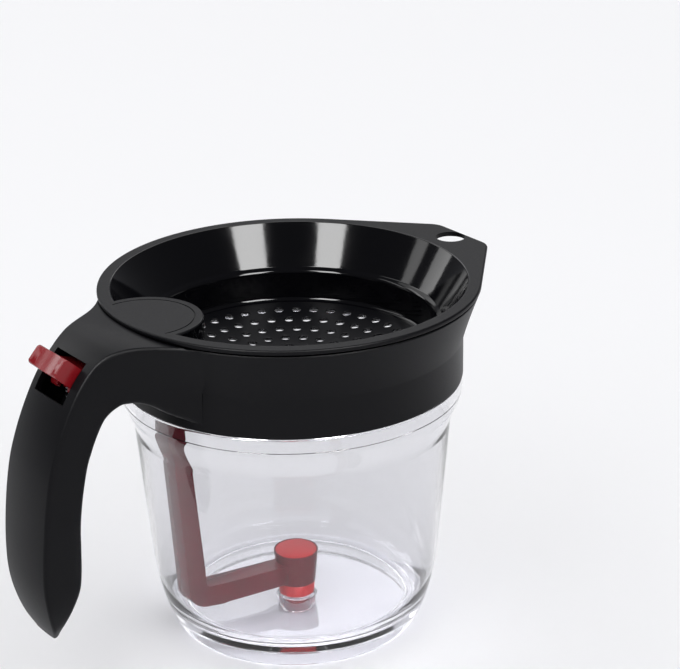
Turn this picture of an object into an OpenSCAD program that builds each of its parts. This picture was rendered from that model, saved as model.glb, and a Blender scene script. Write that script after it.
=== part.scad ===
// Fat separator jug: a clear cup whose floor has a drain hole, a black collar with a
// moulded handle, a red thumb trigger that lifts a stopper arm off the drain, and a
// strainer bowl that drops into the collar. Millimetres, +Z up. The origin is the
// centre of the cup's foot. The handle points to -X, the strainer's hanging tab to +X.

/* [Cup] */
// Height of the cup's lip above the table
cup_h = 115.2; // [100:0.2:135]
// Outer radius of the shoulder that the collar sits on
shoulder_r = 68.6; // [62:0.1:75]
// Width of the shoulder, from its edge to the neck
shoulder_w = 3.3; // [2.9:0.1:4]
// Height of the neck above the shoulder
neck_h = 8.3; // [8:0.1:9.5]
// Step from the shoulder's edge in to the wall below it
wall_in = 4.7; // [3:0.1:6]
// Inward taper of the wall from under the shoulder to the rounded bottom
wall_taper = 5.15; // [2:0.05:5.5]
// Height at which the rounded bottom meets the straight wall
belly_z = 31; // [26:1:40]
// Step from the wall in to the ring that the cup stands on
foot_in = 10.45; // [8:0.05:14]
// Width of the foot ring
foot_w = 2.4; // [2:0.1:4]
// Wall of the cup
cup_wall = 2.3; // [1.8:0.1:2.6]
// Depth of the hollow under the floor
foot_h = 6.8; // [5:0.1:9]
// Thickness of the floor
floor_t = 2.7; // [2:0.1:4]

/* [Drain and stopper] */
// Bore radius of the drain spout
drain_r = 5.6; // [4.5:0.1:6.5]
// Radius of the conical seat at the floor
seat_r = 7.3; // [6.9:0.1:8]
// Wall of the drain spout
spout_wall = 1.9; // [1.2:0.1:3]
// Gap between the spout's tip and the table
spout_clear = 1.5; // [0.5:0.1:3]
// Radius of the ring that holds the plug, at its top
ring_r = 9.2; // [8.9:0.1:11]
// Height of the plug's ring
ring_h = 13.3; // [10:0.1:16]
// Height of the ring above the cup's floor with the drain shut
ring_lift = 4.6; // [3:0.1:7]
// Radius of the plug's waist inside the ring
waist_r = 4.5; // [3:0.1:5.5]

/* [Stopper arm] */
// Width of the arm across the cup's radius
arm_w = 9; // [7:0.5:10]
// Thickness of the upright part of the arm
arm_t = 6.8; // [5:0.1:7.2]
// Height of the foot of the arm
arm_foot_t = 7.8; // [6:0.1:9]
// Inward lean of the upright from its bend to the elbow
arm_lean = 6.7; // [5:0.1:9]
// Length of the guide that the arm slides in
guide_h = 9.2; // [7:0.1:9.4]
// Wall of the guide
guide_wall = 2.1; // [1.5:0.1:2.4]

/* [Collar] */
// Step from the cup's shoulder out to the collar's straight band
band_out = 0.3; // [0:0.1:1.5]
// Outward flare of the collar from the band to its top
flare = 6.4; // [5.6:0.1:8]
// Height of the collar
collar_h = 36.2; // [33:0.2:38]
// Height of the straight band
band_h = 15.8; // [14:0.1:18]
// Wall of the collar
collar_wall = 2; // [1.6:0.1:2.2]
// Thickness of the inner flange over the cup's lip
flange_t = 2.5; // [2:0.1:2.6]
// Thickness of the sealing ring
seal_t = 1.6; // [1.2:0.1:1.8]

/* [Strainer] */
// Overhang of the strainer's rim beyond the collar
rim_over = 0.7; // [0.5:0.1:3]
// Thickness of the rim
rim_t = 1.9; // [1.5:0.1:4]
// Gap that shows between collar and rim
rim_gap = 0.8; // [0.6:0.1:2]
// Width of the flat rim
rim_w = 5.5; // [4:0.1:6]
// Depth of the sloping funnel below the rim
funnel_h = 18.6; // [16:0.1:20]
// Gap between the bowl's upright wall and the cup's neck
bowl_gap = 2.2; // [1.8:0.1:3.5]
// Inward draft of the upright wall
bowl_draft = 1.5; // [0.5:0.1:3]
// Depth of the upright wall below the funnel
bowl_h = 10.4; // [8:0.1:11]
// Fall of the dished floor from its edge to its centre
dish_h = 4.8; // [2:0.1:6]
// Wall of the strainer
bowl_wall = 2; // [1.5:0.1:2.2]
// Radius of a strainer hole
hole_r = 1.85; // [1:0.05:2.4]
// Distance between rings of strainer holes
hole_pitch = 8.2; // [7:0.1:10]
// Radius of the thumb pad over the arm's head
pad_r = 22.7; // [21.5:0.1:24]
// Wall of the hollow post under the pad
post_wall = 2.2; // [1.5:0.1:2.6]
// Distance from the rim's edge out to the centre of the hanging hole
hang_out = 6; // [5:0.1:8]
// Radius of the hanging hole
hang_r = 6.2; // [4:0.1:6.6]
// Reach of the hanging tab beyond the rim's edge
tab_reach = 12.6; // [11.5:0.1:16]

/* [Handle] */
// Greatest reach of the handle beyond the collar's band
handle_out = 56.2; // [54:0.2:66]
// Drop of the handle's tip below the rim
handle_drop = 119; // [105:1:125]
// Half the width of the grip
grip_w = 15.9; // [15:0.1:18]
// Depth of the grip from back to front
grip_d = 17; // [15:0.1:19]
// Radius, seen from above, of the hollow between handle and collar
blend_r = 30; // [20:1:40]
// Wall of the handle's back
shell_wall = 2.6; // [2:0.1:3]
// Wall of the handle's sides
side_wall = 3.3; // [2.8:0.1:3.5]
// Thickness of the cover that closes the channel
cover_t = 3; // [2.6:0.1:3.2]

/* [Trigger] */
// Distance of the pivot outside the collar's band
pivot_out = 18.1; // [17.5:0.1:19.5]
// Depth of the pivot below the rim
pivot_drop = 18.1; // [17.6:0.1:19]
// Radius of the pivot pin
pivot_r = 2; // [1.5:0.1:2.2]
// Radius of the link pin in the arm's head
link_r = 1.5; // [1:0.1:1.6]
// Swing of the trigger when it is pressed, in degrees
press_deg = 14; // [10:1:14]
// Width of the thumb tab
tab_w = 20.4; // [16:0.1:21.4]
// Thickness of the thumb tab
tab_t = 8; // [5:0.1:8.4]
// How far the thumb tab stands out of the handle
tab_out = 9.2; // [6:0.1:11]
// Outer radius of the return spring
spring_r = 3.2; // [2.6:0.1:3.4]
// Wire diameter of the return spring
wire_d = 0.7; // [0.5:0.05:0.9]
// Turns of the return spring
spring_turns = 5; // [4:1:6]

/* [Hidden] */
$fn = 72;

// clearances: between fixed neighbours, between sliding parts, and round a turning pin
gap = 0.3;
slide_gap = 0.2;
turn_gap = 0.05;
seat_gap = 0.06;
over = 1;

// heights
shoulder_z = cup_h - neck_h;
wall_z = 0.814 * shoulder_z;
cup_floor_z = foot_h + floor_t;
collar_z = shoulder_z + gap;
band_top = collar_z + band_h;
collar_top = collar_z + collar_h;
rim_under = collar_top + rim_gap;
rim_z = rim_under + rim_t;
flange_z = cup_h + seal_t;
flange_top = flange_z + flange_t;
ledge_h = 3.5;
ledge_z = collar_top - ledge_h;
bowl_z = rim_z - funnel_h - bowl_h;

// radii of the cup
neck_r = shoulder_r - shoulder_w;
neck_in = neck_r - cup_wall;
belly_top_r = shoulder_r - wall_in;
belly_low_r = belly_top_r - wall_taper;
foot_r = belly_low_r - foot_in;
foot_in_r = foot_r - foot_w;

// radii of the collar and the strainer
collar_r = shoulder_r + band_out;
collar_in = collar_r - collar_wall;
collar_top_r = collar_r + flare;
mouth_r = collar_top_r - 1.9;
rim_r = collar_top_r + rim_over;
rim_in = rim_r - rim_w;
bend_r = neck_in - bowl_gap - bowl_wall;
bowl_r = bend_r - bowl_draft;
dish_r = bowl_r - 2.3;
hang_x = rim_r + hang_out;
pad_x = -(rim_r - 8.7);
pocket_r = pad_r - post_wall;

// places along the handle's plane, all on the -X side
handle_reach = collar_r + handle_out;
channel_w = grip_w - side_wall - 0.2;
pivot_x = -(collar_r + pivot_out);
pivot_z = rim_z - pivot_drop;
arm_x = -(neck_in - arm_t / 2 - slide_gap - guide_wall - 1);
lever_len = arm_x - pivot_x;
lift = 2 * lever_len * tan(press_deg / 2);
link_z = pivot_z - lift / 2;

// ---- curves and outlines -------------------------------------------------------------

function mix(a, b, t) = a + (b - a) * t;

// points of a quadratic curve, without its first point
function curve2(a, b, c, n) = [for (i = [1:n]) let (t = i / n)
    (1 - t) * (1 - t) * a + 2 * t * (1 - t) * b + t * t * c];

// points of a cubic curve, without its first point
function curve3(a, b, c, d, n) = [for (i = [1:n]) let (t = i / n, s = 1 - t)
    s * s * s * a + 3 * s * s * t * b + 3 * s * t * t * c + t * t * t * d];

// a smooth value through the numbers or vectors in v, at place s from 0 to len(v) - 1
function smooth(v, s) =
    let (i = min(floor(s), len(v) - 2), t = s - i,
         a = v[max(i - 1, 0)], b = v[i], c = v[i + 1], d = v[min(i + 2, len(v) - 1)])
    0.5 * (2 * b + (c - a) * t + (2 * a - 5 * b + 4 * c - d) * t * t
           + (3 * b - a - 3 * c + d) * t * t * t);

// an arc that rounds the corner b between a and c
function round_corner(a, b, c, r, n) =
    let (u = (a - b) / norm(a - b), v = (c - b) / norm(c - b),
         half = acos(u * v) / 2, m = (u + v) / norm(u + v),
         o = b + m * (r / sin(half)), p = b + u * (r / tan(half)) - o,
         q = b + v * (r / tan(half)) - o, a0 = atan2(p[1], p[0]),
         raw = atan2(q[1], q[0]) - a0, turn = raw > 180 ? raw - 360 : raw < -180 ? raw + 360 : raw)
    [for (i = [0:n]) o + r * [cos(a0 + turn * i / n), sin(a0 + turn * i / n)]];

// a profile in the handle's plane, x and z, made as thick as w across it
module across(w) {
    rotate([90, 0, 0]) linear_extrude(w, center = true) children();
}

// a straight bar of thickness t from p to q, in the plane of a profile
module bar(p, q, t) {
    translate(p) rotate(atan2(q[1] - p[1], q[0] - p[0])) translate([0, -t / 2])
        square([norm(q - p), t]);
}

// a ring of arc a degrees wide, centred on direction dir
module lug(r0, r1, z0, z1, dir, a) {
    rotate(dir - a / 2) rotate_extrude(angle = a)
        translate([r0, z0]) square([r1 - r0, z1 - z0]);
}

// middle of a ring of points
function centre(ring) =
    [for (i = [0:2]) [for (p = ring) p[i]] * [for (p = ring) 1] / len(ring)];

// skin over rings that all have the same number of points, closed at both ends
module skin(rings) {
    n = len(rings[0]);
    m = len(rings);
    sides = [for (i = [0:m - 2], j = [0:n - 1]) let (k = (j + 1) % n)
        each [[i * n + j, (i + 1) * n + k, (i + 1) * n + j],
              [i * n + j, i * n + k, (i + 1) * n + k]]];
    caps = [for (j = [0:n - 1]) let (k = (j + 1) % n)
        each [[m * n, k, j], [m * n + 1, (m - 1) * n + j, (m - 1) * n + k]]];
    polyhedron(points = concat([for (r = rings) each r], [for (i = [0, m - 1]) centre(rings[i])]),
               faces = concat(sides, caps));
}

// ---- the handle's form ---------------------------------------------------------------

// Stations from inside the collar, over the hump and down the grip. The first six are
// shares of the pivot's distance from the collar and from the rim, because the hump wraps
// the pivot. The others are shares of the grip's depth and of the handle's drop.
function hump_at(out, down) =
    [-(collar_r + out * pivot_out), rim_z - down * pivot_drop];
function grip_at(inset, down) =
    [-(handle_reach - inset * grip_d), rim_z - down * handle_drop];
back_line = [hump_at(-0.38, 0.12), hump_at(0.39, 0.12), hump_at(0.86, 0.12),
    hump_at(1.3, 0.21), hump_at(1.73, 0.51), hump_at(2.1, 0.965),
    grip_at(0.64, 0.261), grip_at(0.27, 0.408), grip_at(0.056, 0.606),
    grip_at(0, 0.766), grip_at(0.14, 0.892), grip_at(0.39, 0.987)];
front_line = [hump_at(-0.38, 2.01), hump_at(0.39, 1.59), hump_at(0.86, 1.45),
    hump_at(1.18, 1.49), hump_at(1.425, 1.65), hump_at(1.61, 1.93),
    grip_at(1.4, 0.352), grip_at(1.19, 0.443), grip_at(1.026, 0.589),
    grip_at(0.997, 0.749), grip_at(0.83, 0.866), grip_at(0.54, 0.974)];
// height of the back's crown and half width, as shares of the half width of the grip
crown_line = [0.01, 0.03, 0.05, 0.055, 0.075, 0.09, 0.08, 0.075, 0.075, 0.07, 0.05, 0.01];
width_line = [1, 1, 1, 0.995, 0.98, 0.98, 0.99, 1, 0.995, 0.95, 0.84, 0.48];
last = len(back_line) - 1;

// the collar's flared outline, and its outer radius at height z
flare_line = concat([[collar_r, band_top]],
    curve2([collar_r, band_top], [collar_r + 0.22 * flare, band_top + 6.5],
           [collar_top_r, collar_top - 0.5], 7));
function collar_radius(z) = lookup(z, [for (p = flare_line) [p[1], p[0]]]);

// radius of the fillet between handle and collar at height z: it opens towards the top
function fillet_r(z) =
    blend_r * (1 + 0.6 * min(max((z - collar_z) / collar_h * 1.3 - 0.3, 0), 1));

// half width at a place on the handle's side, with the hollow that blends it into the
// collar: a fillet that touches the side and a circle just inside the collar
function side_width(x, z, w) =
    let (r = collar_radius(z) - 0.6, fr = fillet_r(z), cy = w + fr,
         reach = sqrt(pow(r + fr, 2) - cy * cy), touch = -reach * r / (r + fr))
    x <= -reach ? w : x < touch ? cy - sqrt(pow(fr, 2) - pow(x + reach, 2))
    : sqrt(r * r - x * x);

// one section of the handle at station s, as points from the front round to the back
function section(s) =
    let (b = smooth(back_line, s), f = smooth(front_line, s), depth = norm(b - f),
         u = (b - f) / depth, w = grip_w * smooth(width_line, s),
         c = grip_w * smooth(crown_line, s), rb = min(1.3, depth / 4),
         rf = min(2.2, depth / 4), mid = depth / 2,
         h = [for (d = [rf, mid, depth - rb]) let (p = f + u * d) side_width(p[0], p[1], w)],
         wb = h[2] - rb, wf = h[0] - rf, k = sqrt(0.5),
         half = concat([[h[0], rf], [h[1], mid], [h[2], depth - rb],
                        [wb + rb * k, depth - rb + rb * k]],
             [for (i = [0:3]) let (y = cos(i * 22.5)) [wb * y, depth + c * (1 - y * y)]]),
         front = [[wf * cos(60), 0], [wf, 0], [wf + rf * k, rf - rf * k]],
         right = concat(front, half))
    [for (q = concat(right, [[0, depth + c]], [for (i = [len(right) - 1:-1:0])
        [-right[i][0], right[i][1]]])) let (p = f + u * q[1]) [p[0], q[0], p[1]]];

// the ring shrunk about its middle and moved on, for the rounded tip
function shrunk(ring, k, by) =
    let (m = centre(ring)) [for (p = ring) m + (p - m) * k + by];

module handle_form() {
    steps = 34;
    tip = section(last);
    skin(concat([for (i = [0:steps]) section(last * i / steps)],
        [for (a = [30, 60, 82]) shrunk(tip, cos(a), [0.5, 0, -1.6] * sin(a))]));
}

channel_start = 1.35;
channel_end = 9.2;

// the hollow inside the handle, open towards the cup
module handle_channel() {
    steps = 24;
    w = channel_w;
    skin([for (i = [0:steps])
        let (s = mix(channel_start, channel_end, i / steps), b = smooth(back_line, s),
             f = smooth(front_line, s), depth = norm(b - f), u = (b - f) / depth,
             c = 0.8 * grip_w * smooth(crown_line, s), top = depth - shell_wall)
        [for (q = concat([[w, -8]], [for (a = [0:22.5:180])
                [w * cos(a), top + c * (1 - pow(cos(a), 2))]], [[-w, -8]]))
            let (p = f + u * q[1]) [p[0], q[0], p[1]]]]);
}

module cover_form() {
    steps = 24;
    w = channel_w - slide_gap;
    skin([for (i = [0:steps])
        let (s = mix(channel_start + 0.03, channel_end - 0.03, i / steps),
             b = smooth(back_line, s), f = smooth(front_line, s), u = (b - f) / norm(b - f))
        [for (q = [[w, 0], [w, cover_t], [-w, cover_t], [-w, 0]])
            let (p = f + u * q[1]) [p[0], q[0], p[1]]]]);
}

// screws that hold the cover, at these stations of the handle
screw_stations = [6.2, 8.4];
screw_r = 1.25;
screw_l = 11;
head_r = 2.7;
head_t = 1.6;

// puts its children at station s, with +Z from the front face towards the back
module at_station(s) {
    b = smooth(back_line, s);
    f = smooth(front_line, s);
    translate([f[0], 0, f[1]])
        rotate([0, atan2(b[0] - f[0], b[1] - f[1]), 0]) children();
}

// ---- places of the trigger -----------------------------------------------------------

slot_mid = [pivot_x - 0.96 * pivot_out, pivot_z + 0.19 * pivot_drop];
slot_turn = 144.2;
slot_l = tab_t + 9.8;
slot_w = tab_w + 4 * slide_gap;
tab_turn = 137.2;
tab_root = [pivot_x - 0.895 * pivot_out, pivot_z + 0.28 * pivot_drop];
hub_r = 4.6;
prong_t = 3;
prong_gap = 0.7;
hub_w = 2 * (arm_w / 2 + prong_gap + prong_t) + 0.6;
prong_h = 6;
fork_in = arm_w / 2 + prong_gap;
spring_x = pivot_x - 0.69 * pivot_out;
spring_z0 = pivot_z - 0.52 * pivot_drop;
spring_z1 = pivot_z - 1;

// ---- parts ---------------------------------------------------------------------------

module cup() {
    p_foot = [foot_r, 0];
    p_low = [foot_r + 2.3, 1.2];
    p_belly = [belly_low_r, belly_z];
    p_wall = [belly_top_r, wall_z];
    p_shoulder = [shoulder_r, shoulder_z - 4.4];
    in_top = [neck_in, shoulder_z - 6.7];
    in_wall = [belly_top_r - cup_wall, wall_z - 1];
    in_belly = [belly_low_r - cup_wall, belly_z];
    floor_r = foot_in_r - 0.4;
    in_floor = [floor_r, cup_floor_z];
    color([0.88, 0.9, 0.93, 0.35]) {
        rotate_extrude() polygon(concat(
            [[foot_in_r, 0], p_foot],
            curve2(p_foot, [foot_r + 1.5, 0], p_low, 3),
            curve2(p_low, [belly_low_r - 2.25, 11.9], p_belly, 8), [p_wall],
            curve3(p_wall, [belly_top_r + 0.2, shoulder_z - 12.4],
                   [shoulder_r, shoulder_z - 9.9], p_shoulder, 8),
            [[shoulder_r, shoulder_z - 0.6], [shoulder_r - 0.6, shoulder_z],
             [neck_r, shoulder_z], [neck_r, cup_h - 0.5], [neck_r - 0.5, cup_h],
             [neck_in + 0.5, cup_h], [neck_in, cup_h - 0.5], in_top, in_wall, in_belly],
            curve2(in_belly, [belly_low_r - 3.5, cup_floor_z - 0.2], in_floor, 8),
            [[seat_r, cup_floor_z], [drain_r, cup_floor_z - 4], [drain_r, spout_clear],
             [drain_r + spout_wall, spout_clear], [drain_r + spout_wall + 0.4, foot_h],
             [floor_r, foot_h]]));
        for (k = [0:2])
            lug(neck_r - 0.5, collar_in - gap, collar_z + 3.7, collar_z + 6,
                60 + 120 * k, 30);
    }
}

module cup_seal_ring() {
    color([0.85, 0.85, 0.85]) rotate_extrude()
        translate([neck_in + 0.2, cup_h]) square([cup_wall - 0.4, seal_t]);
}

// where the arm slides through the collar's guide
module arm_passage() {
    translate([arm_x, 0, collar_z])
        cube([arm_t + 2 * slide_gap, arm_w + 2 * slide_gap, 2 * collar_h], center = true);
}

module collar_ring() {
    inside = [for (i = [len(flare_line) - 1:-1:1]) if (flare_line[i][1] < ledge_z - 1.2)
        flare_line[i] - [collar_wall + 0.2, 0]];
    flange_r = bend_r + bowl_wall + 0.4;
    rotate_extrude() polygon(concat(
        [[collar_in, collar_z], [collar_r - 0.4, collar_z], [collar_r, collar_z + 0.5]],
        flare_line,
        [[collar_top_r - 0.4, collar_top], [mouth_r, collar_top],
         [mouth_r, ledge_z], [mouth_r - 2, ledge_z]], inside,
        [[collar_in, band_top], [collar_in, flange_top], [flange_r, flange_top],
         [flange_r, flange_z], [collar_in, flange_z]]));
    for (k = [0:2])
        lug(neck_r + slide_gap, collar_in + 0.5, collar_z + 0.8, collar_z + 3.3,
            60 + 120 * k, 30);
}

module arm_guide() {
    w = arm_w + 2 * (slide_gap + guide_wall);
    x0 = arm_x - arm_t / 2 - slide_gap - guide_wall;
    x1 = arm_x + arm_t / 2 + slide_gap + guide_wall;
    translate([x0, -w / 2, flange_z - guide_h]) cube([x1 - x0, w, flange_t + guide_h]);
    translate([x0 - 3, -w / 2 - 1.6, flange_z]) cube([x1 - x0 + 3, w + 3.2, flange_t]);
}

module collar_handle() {
    color([0.13, 0.13, 0.15]) difference() {
        union() {
            collar_ring();
            arm_guide();
            difference() {
                handle_form();
                // the collar's inside, and the room for the strainer's rim
                rotate_extrude() polygon([
                    [0, collar_z - 2 * over], [collar_r - 0.8, collar_z - 2 * over],
                    [collar_r - 0.8, band_top], [mouth_r - 0.4, ledge_z - 1.5],
                    [mouth_r + 0.35, ledge_z], [collar_top_r - 1, collar_top],
                    [rim_r + gap, collar_top], [rim_r + gap, 2 * rim_z], [0, 2 * rim_z]]);
                handle_channel();
            }
            // bosses that carry the pivot pin
            for (side = [-1, 1]) {
                boss = channel_w + over - hub_w / 2 - slide_gap;
                translate([pivot_x, side * (hub_w / 2 + slide_gap + boss / 2), pivot_z])
                    rotate([90, 0, 0]) cylinder(r = hub_r, h = boss, center = true);
            }
            // posts for the cover's screws
            for (s = screw_stations)
                at_station(s) translate([0, 0, cover_t + 2 * gap])
                    cylinder(r = 3.2, h = grip_d - cover_t - 2 * gap - 1);
        }
        arm_passage();
        // window for the trigger's fork
        translate([pivot_x, -hub_w / 2 - 0.7, flange_top + 2.4])
            cube([lever_len - arm_t - 0.5, hub_w + 1.4, pivot_z + 6.2 - flange_top - 2.4]);
        // slot for the thumb tab
        across(slot_w) translate(slot_mid) rotate(slot_turn)
            translate([-7, -slot_l / 2]) square([14, slot_l]);
        // bore for the pivot pin, open on the far side
        translate([pivot_x, -(channel_w + 1.2), pivot_z]) rotate([-90, 0, 0])
            cylinder(r = pivot_r + 0.02, h = 2 * channel_w + 20);
        for (s = screw_stations)
            at_station(s) translate([0, 0, cover_t - over])
                cylinder(r = screw_r + turn_gap, h = screw_l + over);
    }
}

module handle_inner_cover() {
    color([0.16, 0.16, 0.18]) difference() {
        union() {
            difference() {
                cover_form();
                translate([spring_x, 0, spring_z0]) cylinder(r = spring_r + gap, h = hub_r * 2);
            }
            translate([spring_x, 0, spring_z0 - 3]) cylinder(r = spring_r + 0.4, h = 3);
            translate([spring_x, 0, spring_z0 - 0.5])
                cylinder(r = spring_r - wire_d - 0.4, h = 1.9);
        }
        for (s = screw_stations) at_station(s) {
            translate([0, 0, -over]) cylinder(r = screw_r + gap, h = cover_t + 3);
            translate([0, 0, -over]) cylinder(r = head_r + gap, h = over + head_t + 0.2);
        }
    }
}

module cover_screws() {
    color([0.7, 0.7, 0.72]) for (s = screw_stations) at_station(s) {
        translate([0, 0, 0.15]) cylinder(r = head_r, h = head_t);
        translate([0, 0, head_t]) cylinder(r = screw_r, h = screw_l - head_t);
    }
}

// one side plate of the trigger's fork, with the slot that the link pin runs in
module prong_outline() {
    hub = [pivot_x, pivot_z];
    link = [arm_x, link_z];
    turn = atan2(link[1] - hub[1], link[0] - hub[0]);
    play = lever_len * (1 / cos(press_deg / 2) - 1) + 0.25;
    difference() {
        union() {
            translate(hub) circle(hub_r);
            bar(hub, link, prong_h);
            translate(link) circle(prong_h / 2);
        }
        translate(link) rotate(turn) {
            for (s = [-1, 1]) translate([s * play, 0]) circle(link_r + 0.1);
            square([2 * play, 2 * link_r + 0.2], center = true);
        }
    }
}

module trigger() {
    hub = [pivot_x, pivot_z];
    color([0.72, 0.16, 0.2]) difference() {
        union() {
            for (side = [-1, 1])
                translate([0, side * (fork_in + prong_t / 2), 0]) across(prong_t) prong_outline();
            across(hub_w) translate(hub) circle(hub_r);
            across(hub_w) bar(hub, hub + [8.5, -1], 5);
            across(hub_w) bar(hub, tab_root, tab_t - 0.6);
            across(tab_w) translate(tab_root) rotate(tab_turn) {
                translate([-3, -tab_t / 2]) square([3 + tab_out - 1.6, tab_t]);
                translate([tab_out - 1.6, -tab_t / 2 + 1.6]) square([1.6, tab_t - 3.2]);
                for (side = [-1, 1])
                    translate([tab_out - 1.6, side * (tab_t / 2 - 1.6)]) circle(1.6);
            }
            translate([spring_x, 0, spring_z1]) cylinder(r = spring_r + 0.3, h = 3);
        }
        // dished end for the thumb
        translate([tab_root[0], 0, tab_root[1]]) rotate([0, -tab_turn, 0])
            translate([tab_out + 30.8, 0, 0]) cylinder(r = 32, h = 30, center = true);
        translate([pivot_x, 0, pivot_z]) rotate([90, 0, 0])
            cylinder(r = pivot_r + turn_gap, h = 2 * hub_w, center = true);
    }
}

module trigger_pin() {
    color([0.75, 0.75, 0.78]) translate([pivot_x, -channel_w - 0.8, pivot_z])
        rotate([-90, 0, 0]) cylinder(r = pivot_r, h = 2 * channel_w + 2.6);
}

// coil of round wire between flat ground ends
module return_spring() {
    h = spring_z1 - spring_z0 - wire_d;
    mean_r = spring_r - wire_d / 2;
    rings_per_turn = 10;
    steps = spring_turns * rings_per_turn;
    // the end turns lie flat, the middle ones climb
    function climb(t) = t < 1 / spring_turns ? 0
        : t > 1 - 1 / spring_turns ? 1
        : (t * spring_turns - 1) / (spring_turns - 2);
    color([0.75, 0.75, 0.78]) translate([spring_x, 0, spring_z0 + wire_d / 2])
        skin([for (i = [0:steps]) let (t = i / steps, a = 360 * spring_turns * t,
                z = wire_d + (h - 2 * wire_d) * climb(t) + (t < 1 / spring_turns
                    ? wire_d * (t * spring_turns - 1) : t > 1 - 1 / spring_turns
                    ? wire_d * (t * spring_turns - spring_turns + 1) : 0))
            [for (j = [0:5]) let (b = 60 * j, r = mean_r + wire_d / 2 * cos(b))
                [r * cos(a), r * sin(a), z + wire_d / 2 * sin(b)]]]);
}

module stopper_arm() {
    bend_z = collar_z - lift - 1.2;
    elbow = [arm_x + arm_lean, cup_floor_z + ring_lift + 8.4];
    foot_end = [-ring_r + 2, cup_floor_z + ring_lift + 5.4];
    head_z = link_z + 3.6;
    bend = [arm_x, bend_z];
    up = (bend - elbow) / norm(bend - elbow);
    along = (foot_end - elbow) / norm(foot_end - elbow);
    side = [up[1], -up[0]] * arm_t / 2;
    rise = [-along[1], along[0]] * arm_foot_t / 2;
    // the corners where the edges of the two bars cross
    inner = elbow + side + rise;
    outer = elbow - side - rise;
    ring_z = cup_floor_z + ring_lift;
    color([0.42, 0.2, 0.23]) difference() {
        union() {
            across(arm_w) polygon(concat(
                [[arm_x + arm_t / 2, head_z], bend + [arm_t / 2, 0]],
                round_corner(bend + side, inner, foot_end + rise, 1.5, 3),
                [foot_end + rise, foot_end - rise],
                round_corner(foot_end - rise, outer, bend - side, 8, 6),
                [bend - [arm_t / 2, 0], [arm_x - arm_t / 2, head_z]]));
            translate([0, 0, ring_z]) cylinder(r1 = ring_r - 1.4, r2 = ring_r, h = ring_h);
        }
        translate([0, 0, ring_z - over]) cylinder(r = waist_r + 0.05, h = ring_h + 2 * over);
        translate([0, 0, ring_z + ring_h - 2]) cylinder(r = ring_r - 0.6, h = 3);
        translate([arm_x, 0, link_z]) rotate([90, 0, 0])
            cylinder(r = link_r + 0.02, h = arm_w + 2, center = true);
    }
}

module link_pin() {
    color([0.75, 0.75, 0.78]) translate([arm_x, 0, link_z]) rotate([90, 0, 0])
        cylinder(r = link_r, h = 2 * (fork_in + prong_t), center = true);
}

module stopper_plug() {
    ring_z = cup_floor_z + ring_lift;
    head_z = ring_z + ring_h - 2;
    seat_slope = (seat_r - drain_r) / 4;
    color([0.82, 0.2, 0.24]) rotate_extrude() polygon(concat(
        [[0, cup_floor_z - 6], [drain_r - 2, cup_floor_z - 6],
         [drain_r - seat_gap, cup_floor_z - 4 - 0.1],
         [seat_r - seat_gap, cup_floor_z], [ring_r - 1.6, ring_z - 0.05],
         [waist_r, ring_z - 0.05], [waist_r, head_z + 0.05], [ring_r - 0.7, head_z + 0.05],
         [ring_r - 0.7, head_z + 1.9]],
        curve2([ring_r - 0.7, head_z + 1.9], [ring_r - 1.2, head_z + 2.6],
               [0, head_z + 2.9], 5)));
}

// outline of the rim with the hanging tab, drawn with exact tangents
module rim_outline() {
    nose_r = hang_r + 1.8;
    nose = [rim_r + tab_reach - nose_r, 13];
    turn = atan2(nose[1], nose[0]) + acos((rim_r - nose_r) / norm(nose));
    out = [cos(turn), sin(turn)];
    a = rim_r * out;
    b = nose + nose_r * out;
    end = nose[0] + nose_r;
    circle(rim_r);
    polygon([[a[0], -a[1]], [b[0], -b[1]], [end, -nose[1]], [end, nose[1]], b, a]);
    for (side = [-1, 1]) translate([nose[0], side * nose[1]]) circle(nose_r);
}

// outer face of the bowl below the rim, as a solid of revolution
module bowl_envelope() {
    rotate_extrude() polygon(concat([[0, rim_under + 0.01]], bowl_outside()));
}

function dish(r, low) = [r, bowl_z - 1.7 - dish_h + low + dish_h * pow(r / dish_r, 2)];
function bowl_outside() = concat(
    [[rim_in + bowl_wall * 1.15 - 1.9, rim_under + 0.01],
     [bend_r + bowl_wall - 0.3, rim_z - funnel_h - 1], [bowl_r + bowl_wall, bowl_z - 1.6]],
    [for (i = [6:-1:0]) dish(dish_r * i / 6, -bowl_wall)]);

module strainer() {
    ring_out = mouth_r - slide_gap;
    color([0.15, 0.15, 0.17]) difference() {
        union() {
            difference() {
                bowl_envelope();
                rotate_extrude() polygon(concat(
                    [[0, rim_z + over], [rim_in, rim_z + over], [rim_in, rim_z - 0.4],
                     [bend_r, rim_z - funnel_h], [bowl_r, bowl_z]],
                    [for (i = [6:-1:0]) dish(dish_r * i / 6, 0)]));
            }
            // flat rim with its tab
            translate([0, 0, rim_under]) linear_extrude(rim_t) difference() {
                rim_outline();
                circle(rim_in);
            }
            // ring that locates the rim in the collar's mouth
            rotate_extrude() translate([ring_out - 1.8, ledge_z + seat_gap])
                square([1.8, rim_under - ledge_z]);
            // hollow post with the thumb pad on top
            intersection() {
                translate([pad_x, 0, 0]) cylinder(r = pad_r, h = rim_z);
                union() {
                    bowl_envelope();
                    translate([0, 0, rim_under - 0.01]) cylinder(r = rim_r - 1, h = rim_t + 0.01);
                }
            }
        }
        // the hollow of the post, open below and towards the handle
        translate([pad_x, 0, 0]) cylinder(r = pocket_r, h = rim_under);
        // fine line round the thumb pad
        intersection() {
            translate([pad_x, 0, rim_z - 0.4]) difference() {
                cylinder(r = pad_r - 3.3, h = 2);
                cylinder(r = pad_r - 3.8, h = 2);
            }
            cylinder(r = rim_r - 4.5, h = rim_z + over);
        }
        translate([hang_x, 0, rim_under - over]) cylinder(r = hang_r, h = rim_t + 2 * over);
        strainer_holes();
    }
}

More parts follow.
